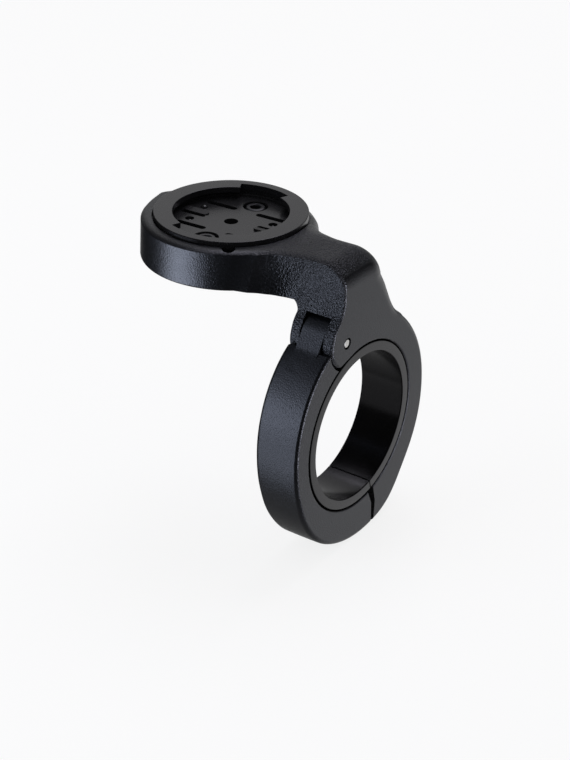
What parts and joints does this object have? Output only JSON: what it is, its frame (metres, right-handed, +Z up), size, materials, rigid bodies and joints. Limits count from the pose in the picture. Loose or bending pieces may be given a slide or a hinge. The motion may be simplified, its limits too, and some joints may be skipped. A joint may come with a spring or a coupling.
{
  "type": "bike computer mount",
  "caption": "Black over-stem handlebar mount: hinged round bar clamp, bent arm and a round cup with a quarter-turn receptacle for a bike computer.",
  "frame": {"origin": "on the handlebar axis, in the middle of the clamp's width", "axes": "+X along the handlebar towards the open side of the clamp, +Z up, -Y towards the strap; the cup faces +Z"},
  "size_m": [0.0512, 0.047, 0.0657],
  "materials": {
    "moulded_black": "fine spark-eroded texture, low sheen",
    "liner_black": "smooth satin",
    "insert_black": "smooth satin",
    "pin_steel": "bright turned steel",
    "screw_black": "blackened steel"
  },
  "bodies": {
    "mount": {"mount_body": "moulded_black", "bar_liner": "liner_black", "hinge_pin": "pin_steel", "clamp_nut": "pin_steel", "bayonet_insert": "insert_black", "insert_screw_1": "screw_black", "insert_screw_2": "screw_black"},
    "strap": {"clamp_strap": "moulded_black"},
    "screw": {"clamp_screw": "screw_black"}
  },
  "joints": [
    {"name": "strap_hinge", "type": "hinge", "parent": "mount", "child": "strap", "pos_m": [0, -0.006, 0.0213], "axis": [-1, 0, 0], "range_deg": [0, 55]},
    {"name": "screw_back_out", "type": "slide", "parent": "strap", "child": "screw", "axis": [0, -0.9627, -0.2707], "range_m": [0, 0.011]}
  ],
  "couplings": [
    {"joint": "screw_back_out", "follows": "strap_hinge", "m_per_rad": 0.01}
  ]
}
